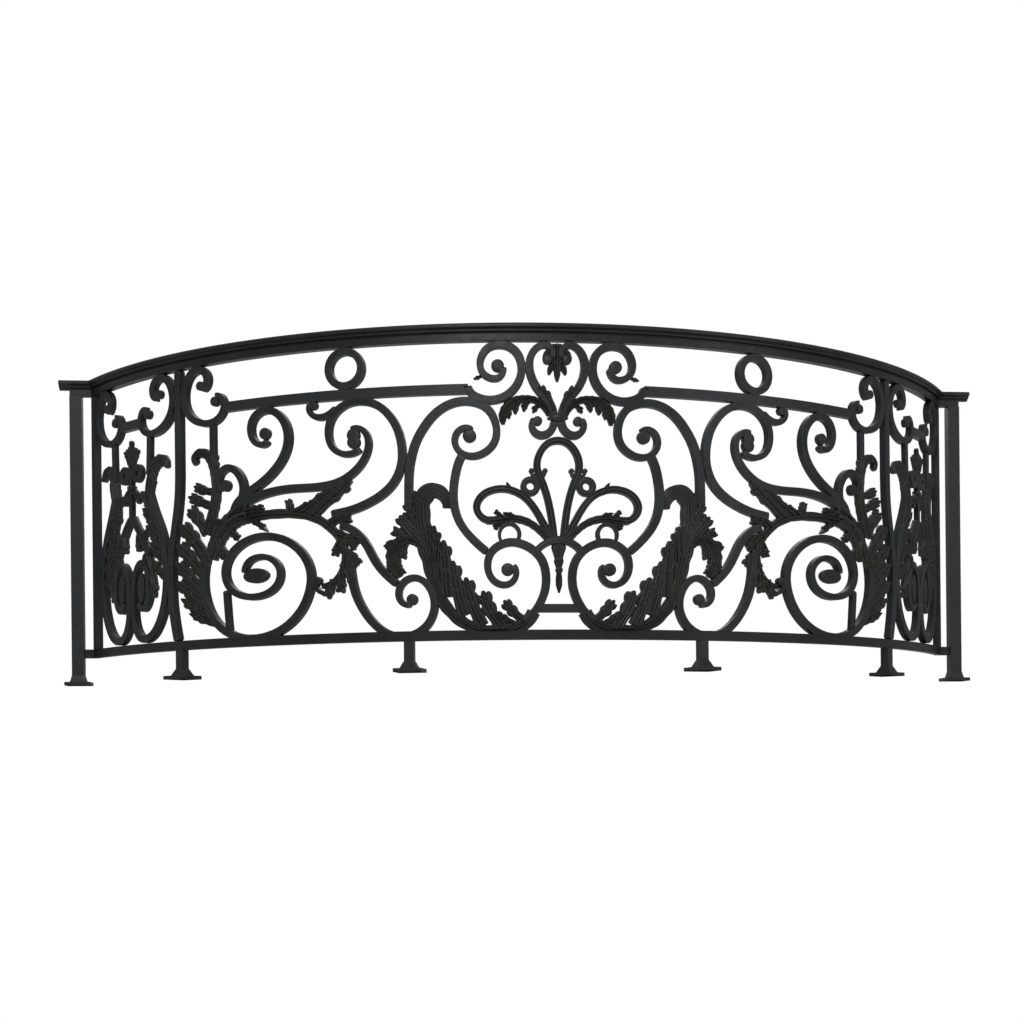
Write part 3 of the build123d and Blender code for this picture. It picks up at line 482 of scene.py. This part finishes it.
# Large acanthus at the foot of the front panel: lobes cast in iron, overlapping along one rising stem
# that curls over at its head, with a second leaf curled the other way. Welded to the rail and scrolls.
acanthus = [leaf_stem(
    [(80, 182), (106, 148), (144, 130), (192, 123), (240, 127), (286, 145), (326, 173), (358, 212),
     (379, 256), (391, 300), (402, 350), (414, 400), (424, 450), (428, 500), (418, 540), (394, 560),
     (366, 555), (348, 528), (346, 506)], 42, 26, 5, hood=64)]
acanthus += leaf_lobes((
    ((106, 152), (138, 172), (172, 218), 40), ((172, 128), (218, 176), (236, 248), 54),
    ((236, 140), (276, 206), (288, 290), 56), ((292, 172), (322, 250), (328, 342), 56),
    ((345, 230), (352, 316), (356, 406), 52), ((384, 330), (376, 386), (382, 440), 36),
    ((396, 360), (392, 410), (398, 456), 36), ((424, 404), (464, 442), (492, 486), 48),
    ((426, 446), (454, 486), (470, 524), 38), ((424, 500), (446, 530), (452, 556), 30),
    ((392, 350), (418, 398), (448, 420), 40), ((136, 142), (164, 158), (196, 176), 30)), lift=5)
acanthus += [leaf_stem([(400, 352), (420, 388), (446, 408), (476, 412), (502, 400), (515, 374), (515, 345),
                        (506, 318), (496, 296)], 36, 20, 4, hood=50)]
acanthus += leaf_lobes((
    ((464, 402), (488, 432), (514, 438), 36), ((498, 398), (526, 410), (538, 384), 34),
    ((474, 406), (486, 382), (486, 354), 30), ((510, 360), (526, 340), (526, 312), 28),
    ((506, 340), (496, 322), (484, 306), 26)), lift=4)
make_piece("bottom_acanthus_casting", ["bottom_acanthus"], acanthus, cast_paint)

# Small scrolls above the inner feet, links that rise from them, the large outer scrolls of the front
# panel with their tendrils, and the long stems inside them.
make_piece("small_scroll_bars", ["small_scrolls"], scroll(
    [(664, 388), (656, 345), (650, 300), (640, 255), (619, 208), (590, 166), (555, 133), (518, 115),
     (478, 110), (440, 121), (411, 143), (393, 172), (386, 206), (392, 241), (411, 273), (440, 291),
     (467, 289), (489, 272), (499, 246), (492, 221), (474, 209), (460, 211)], (456, 225), 18), bar_paint)
make_piece("rising_link_bars", ["rising_links"], [forged_bar(
    [(503, 274), (528, 295), (558, 327), (584, 368), (608, 410), (640, 443), (688, 464)],
    depth=25)], bar_paint)
make_piece("outer_scroll_bars", ["outer_scrolls"], scroll(
    [(716, 499), (690, 503), (650, 510), (604, 525), (558, 548), (518, 581), (494, 620), (484, 661),
     (485, 702), (496, 750), (521, 795), (559, 830), (608, 847), (658, 843), (697, 820), (719, 787),
     (724, 750), (713, 713), (686, 690), (654, 685), (618, 699)], (640, 721), 21, depth=25.6), bar_paint)
make_piece("tendril_bars", ["tendrils"], scroll(
    [(697, 832), (722, 813), (750, 806), (777, 814), (791, 834), (786, 852)],
    (775, 845), 14, 20, 12, depth=24.6), bar_paint)
make_piece("main_stem_bars", ["main_stems"], scroll(
    [(1110, 496), (1075, 530), (1030, 556), (970, 576), (910, 586), (850, 589), (788, 588), (730, 591),
     (680, 604), (638, 630), (609, 662), (594, 695), (592, 726), (604, 752), (626, 764), (648, 760)],
    (641, 743), 21, depth=25), bar_paint)

# Big spirals beside the outer posts, each closed on a flat oval eye, and the scrolls that fan out
# above the leafy sheath where all stems gather.
make_piece("big_spiral_bars", ["big_spirals"], scroll(
    [(1184, 420), (1198, 372), (1206, 318), (1197, 258), (1172, 205), (1130, 161), (1070, 131),
     (1000, 121), (930, 131), (868, 161), (822, 206), (796, 258), (789, 316), (808, 368), (850, 411),
     (915, 439), (990, 442), (1055, 420), (1098, 381), (1112, 335), (1094, 290), (1050, 262),
     (990, 254), (935, 268), (904, 298), (900, 336), (926, 368), (975, 380), (1020, 364), (1034, 332)],
    (990, 321), 48, rise=24), bar_paint)
make_piece("top_side_scroll_bars", ["top_side_scrolls"], scroll(
    [(1074, 528), (1066, 549), (1046, 569), (1012, 590), (965, 615), (922, 646), (890, 681),
     (870, 721), (866, 763), (878, 801), (905, 831), (945, 845), (982, 834), (1002, 806), (1002, 772),
     (986, 746), (960, 736), (940, 748)], (951, 771), 19), bar_paint)
make_piece("small_side_scroll_bars", ["small_side_scrolls"], scroll(
    [(1050, 560), (1038, 584), (1036, 612), (1048, 643), (1072, 667), (1104, 674),
     (1131, 656), (1136, 627), (1122, 606)], (1107, 618), 19, 24, depth=25.4), bar_paint)

# Sheath and hanging branch: cast acanthus that wraps the gathered stems like a sleeve, then runs down
# over the big spiral and curls up at its end.
sheath = [leaf_stem([(1022, 522), (1074, 510), (1120, 480), (1152, 438), (1176, 388)], 62, 50, 6, 18)]
sheath += leaf_lobes((
    ((1050, 512), (990, 502), (947, 460), 24), ((1150, 440), (1178, 410), (1204, 366), 38),
    ((1140, 450), (1130, 412), (1112, 388), 32), ((1090, 516), (1064, 532), (1038, 548), 28),
    ((1110, 500), (1150, 500), (1180, 520), 30), ((1100, 490), (1084, 462), (1060, 446), 26),
    ((1040, 524), (1000, 536), (960, 534), 30)), lift=8)
make_piece("leaf_sheath_castings", ["leaf_sheaths"], sheath, cast_paint)
branch = [leaf_stem([(1058, 504), (990, 512), (910, 514), (832, 508), (762, 486), (704, 440), (674, 384),
                     (682, 326), (716, 286), (752, 277)], 30, 18, 4)]
branch += leaf_lobes((
    ((782, 502), (714, 556), (648, 604), 46), ((820, 510), (764, 548), (706, 582), 40),
    ((728, 468), (692, 494), (654, 486), 40), ((704, 440), (664, 430), (634, 396), 42),
    ((690, 394), (656, 374), (630, 336), 40), ((684, 346), (660, 322), (650, 284), 34),
    ((688, 320), (682, 286), (692, 256), 32), ((712, 296), (720, 266), (738, 244), 34),
    ((868, 508), (858, 534), (872, 552), 32), ((690, 414), (706, 396), (706, 370), 28),
    ((850, 512), (812, 532), (776, 538), 30)), lift=5)
branch += [scroll_eye(765, 293, 14), forged_bar(
    [(760, 300), (771, 290), (770, 272), (756, 258), (736, 252), (716, 262)], 14, 10)]
make_piece("branch_acanthus_castings", ["branch_acanthus"], branch, cast_paint)

# Rings held between the middle rail and the top rail, one on each side: square bar bent round a
# former until its ends meet, then welded shut.
make_piece("upper_ring_pair", ["rings"], [ring_bar(667, 951.75, 54, 24, 26)], bar_paint)

# Column of leaves between each big spiral and its outer post, topped by a curled leaf.
column = [leaf_stem([(1196, 470), (1170, 530), (1152, 600), (1158, 668), (1184, 722), (1222, 736),
                     (1246, 722), (1240, 702)], 36, 18, 3, hood=34), scroll_eye(1238, 710, 11, depth=22)]
column += leaf_lobes((
    ((1180, 560), (1216, 574), (1266, 596), 40), ((1164, 604), (1204, 608), (1240, 628), 36),
    ((1196, 470), (1222, 520), (1270, 554), 50), ((1200, 390), (1240, 450), (1312, 508), 60),
    ((1206, 336), (1256, 386), (1326, 446), 58), ((1212, 284), (1262, 326), (1330, 384), 56),
    ((1206, 240), (1258, 272), (1326, 322), 52), ((1186, 200), (1240, 222), (1304, 264), 42),
    ((1160, 176), (1206, 186), (1266, 214), 32), ((1160, 640), (1150, 690), (1160, 726), 30)), lift=3)
make_piece("leaf_column_castings", ["leaf_columns"], column, cast_paint)

# C-scrolls either side of the outer posts and beside the corner bars, and the short uprights under
# them. The side panel mirrors about its own middle.
POST_ARC = 1313.0
CORNER_BAR_ARC = 1843.0
SIDE_MIDDLE = (POST_ARC + CORNER_BAR_ARC) / 2


def turned(points, arc):
    """Arc and height points reflected across an arc."""
    return [(2 * arc - s, z) for s, z in points]


c_line = [(1204, 942), (1189, 949), (1181, 972), (1194, 996), (1224, 1006), (1256, 994), (1279, 960),
          (1285, 918), (1270, 874), (1236, 843), (1190, 828), (1145, 833), (1116, 858), (1112, 890),
          (1128, 911), (1146, 912)]
c_eyes = ((1150, 895, 16), (1213, 953, 15))
side_cs = []
for line, flips in ((c_line, ()), (c_line, (POST_ARC,)), (c_line, (POST_ARC, SIDE_MIDDLE))):
    eyes = [(s, z) for s, z, r in c_eyes]
    for arc in flips:
        line, eyes = turned(line, arc), turned(eyes, arc)
    side_cs += [forged_bar(line, 24, 17, depth=24.8)] + [
        scroll_eye(*eye, r, depth=24.8) for eye, (_, _, r) in zip(eyes, c_eyes)]
make_piece("post_c_scroll_bars", ["post_c_scrolls"], side_cs, bar_paint)
upright_line = turned([(1160, 824), (1158, 760), (1154, 690)], POST_ARC)
make_piece("upright_bar_set", ["upright_bars"], [
    forged_bar(line, 22, depth=18) for line in (
        [(1160, 824), (1160, 740), (1157, 650)], [(1109, 280), (1104, 215), (1097, 145)],
        upright_line, turned(upright_line, SIDE_MIDDLE))], bar_paint)

# Side panels: two tall spirals face each other, with cast leaves climbing beside the posts, thin
# branches that cross to the middle, and a flower on its stem between them.
spiral_line = turned(
    [(1150, 640), (1186, 560), (1226, 480), (1242, 410), (1246, 340), (1236, 262), (1204, 190),
     (1156, 148), (1108, 146), (1074, 182), (1061, 240), (1062, 310), (1078, 372), (1110, 400),
     (1140, 376), (1150, 316), (1140, 262), (1118, 244), (1096, 268)], POST_ARC)
spiral_eye = (2 * POST_ARC - 1108, 316)
side_spirals = scroll(spiral_line, spiral_eye, 18, rise=50)
side_spirals += scroll(turned(spiral_line, SIDE_MIDDLE), turned([spiral_eye], SIDE_MIDDLE)[0], 18, rise=50)
make_piece("side_spiral_bars", ["side_spirals"], side_spirals, bar_paint)
leaf_line = [(1476, 560), (1474, 640), (1462, 690), (1432, 730), (1400, 732), (1378, 706)]
climbing_lobes = (((1440, 540), (1476, 580), (1506, 640), 40), ((1420, 490), (1466, 530), (1500, 582), 40),
                  ((1400, 440), (1444, 470), (1482, 522), 38), ((1392, 390), (1428, 410), (1458, 464), 36),
                  ((1388, 340), (1420, 350), (1446, 402), 32), ((1472, 620), (1450, 660), (1456, 700), 30))
branch_line = [(1572, 556), (1538, 512), (1502, 462), (1474, 404), (1462, 350)]
branch_lobes = (((1510, 470), (1500, 500), (1480, 502), 24), ((1480, 420), (1462, 440), (1448, 430), 24),
                ((1466, 360), (1440, 320), (1466, 280), 36), ((1530, 500), (1540, 470), (1530, 440), 26),
                ((1490, 430), (1506, 404), (1500, 380), 24))
for title, node, stem, width, tip, lobes in (
        ("side_leaf_castings", "side_leaves", leaf_line, 38, 14, climbing_lobes),
        ("side_branch_castings", "side_branches", branch_line, 26, 20, branch_lobes)):
    hood = 46 if node == "side_leaves" else None
    parts = []
    for placed in (list, lambda line: turned(line, SIDE_MIDDLE)):
        parts += [leaf_stem(placed(stem), width, tip, hood=hood)]
        parts += leaf_lobes([(*placed(curve), w) for *curve, w in lobes], lift=3)
    make_piece(title, [node], parts, cast_paint)
flower = [forged_bar([(SIDE_MIDDLE, 548), (SIDE_MIDDLE, 640), (SIDE_MIDDLE, 742)], 18, 14, depth=18),
          ring_bar(SIDE_MIDDLE - 40, 705, 20.5, 22, 18),
          ring_bar(SIDE_MIDDLE + 40, 705, 20.5, 22, 18),
          forged_bar([(SIDE_MIDDLE - 15, 660), (SIDE_MIDDLE, 660), (SIDE_MIDDLE + 15, 660)], 12)]
flower += [scroll_eye(SIDE_MIDDLE, 778, 17, 26, 24), scroll_eye(SIDE_MIDDLE, 810, 9, 11, 16),
           scroll_eye(SIDE_MIDDLE, 745, 13, 16, 22)]
for out, root_z, bend_z, tip_z in ((30, 730, 766, 786), (52, 655, 640, 604)):
    for side in (1, -1):
        flower += leaf_lobe((SIDE_MIDDLE, root_z), (SIDE_MIDDLE + side * out * 0.6, bend_z),
                            (SIDE_MIDDLE + side * out, tip_z), 30)
make_piece("side_flower_castings", ["side_flowers"], flower, cast_paint)

# Camera: below floor level and a little left of the middle, level and turned slightly right, where the
# photograph was taken from.
FOCAL_PIXELS, PHOTO_PIXELS = 1692.7, 1024.0
CENTRE_X, CENTRE_Y = 519.4, 755.64
CAMERA_PLACE = (-0.6694, -5.194 - ORIGIN_Y / 1000.0, -0.2614)
CAMERA_YAW, CAMERA_ROLL = 0.1037, -0.0097
camera_data = bpy.data.cameras.new("camera")
camera_data.sensor_width = 36.0
camera_data.lens = camera_data.sensor_width * FOCAL_PIXELS / PHOTO_PIXELS
camera_data.shift_x = (PHOTO_PIXELS / 2 - CENTRE_X) / PHOTO_PIXELS
camera_data.shift_y = (CENTRE_Y - PHOTO_PIXELS / 2) / PHOTO_PIXELS
camera_data.clip_end = 60.0
camera = bpy.data.objects.new("camera", camera_data)
camera.location = CAMERA_PLACE
camera.rotation_euler = (math.radians(90), -CAMERA_ROLL, -CAMERA_YAW)
bpy.context.scene.collection.objects.link(camera)
bpy.context.scene.camera = camera

# Studio: a pale room that the camera sees as plain white, one large soft light high in front and a
# little left, a weaker one on the right and one behind.
world = bpy.data.worlds.new("studio")
bpy.context.scene.world = world
world.use_nodes = True
sky_nodes, sky_links = world.node_tree.nodes, world.node_tree.links
seen = sky_nodes.new("ShaderNodeLightPath")
white = sky_nodes.new("ShaderNodeMath")
white.operation = "MAXIMUM"
sky_links.new(seen.outputs["Is Camera Ray"], white.inputs[0])
sky_links.new(seen.outputs["Is Transmission Ray"], white.inputs[1])
direction = sky_nodes.new("ShaderNodeTexCoord")
split = sky_nodes.new("ShaderNodeSeparateXYZ")
sky_links.new(direction.outputs["Generated"], split.inputs[0])
sky = sky_nodes.new("ShaderNodeMapRange")
for key, value in zip((1, 2, 3, 4), (-0.6, 0.9, 0.05, 0.45)):
    sky.inputs[key].default_value = value
sky_links.new(split.outputs["Z"], sky.inputs[0])
strength = sky_nodes.new("ShaderNodeMix")
sky_links.new(white.outputs[0], strength.inputs[0])
sky_links.new(sky.outputs[0], strength.inputs[2])
strength.inputs[3].default_value = 1.0
sky_nodes["Background"].inputs["Color"].default_value = (1, 1, 1, 1)
sky_links.new(strength.outputs[0], sky_nodes["Background"].inputs["Strength"])


def soft_light(name, place, target, size, power):
    """Square lamp whose -Z points from place to target."""
    data = bpy.data.lights.new(name, "AREA")
    data.size = size
    data.energy = power
    obj = bpy.data.objects.new(name, data)
    obj.location = place
    x, y, z = np.subtract(target, place)
    obj.rotation_euler = (math.atan2(math.hypot(x, y), -z), 0, math.atan2(x, -y) + math.pi)
    obj.visible_camera = False
    bpy.context.scene.collection.objects.link(obj)


soft_light("key", (-1.0, -5.4, 3.4), (0, 0, 0.5), 2.4, 80)
soft_light("fill", (3.8, -3.5, 1.8), (0, 0, 0.5), 2.5, 16)
soft_light("back", (0.5, 4.0, 3.0), (0, 0, 0.6), 2.5, 35)

# Floor: pale and plain with the railing's soft shadow. From below, where the camera stands, it is
# clear, as the photograph shows the feet from under their level.
floor_mesh = bpy.data.meshes.new("floor")
floor_mesh.from_pydata([(-14, -14, 0), (14, -14, 0), (14, 14, 0), (-14, 14, 0)], [], [(0, 1, 2, 3)])
floor = bpy.data.objects.new("floor", floor_mesh)
bpy.context.scene.collection.objects.link(floor)
floor_paint = bpy.data.materials.new("floor")
floor_paint.use_nodes = True
floor_nodes, floor_links = floor_paint.node_tree.nodes, floor_paint.node_tree.links
floor_nodes["Principled BSDF"].inputs["Base Color"].default_value = (0.86, 0.86, 0.86, 1)
floor_nodes["Principled BSDF"].inputs["Roughness"].default_value = 0.9
under = floor_nodes.new("ShaderNodeNewGeometry")
clear = floor_nodes.new("ShaderNodeBsdfTransparent")
choose = floor_nodes.new("ShaderNodeMixShader")
floor_links.new(under.outputs["Backfacing"], choose.inputs[0])
floor_links.new(floor_nodes["Principled BSDF"].outputs[0], choose.inputs[1])
floor_links.new(clear.outputs[0], choose.inputs[2])
floor_links.new(choose.outputs[0], floor_nodes["Material Output"].inputs["Surface"])
floor_mesh.materials.append(floor_paint)

bpy.context.scene.view_settings.view_transform = "Standard"
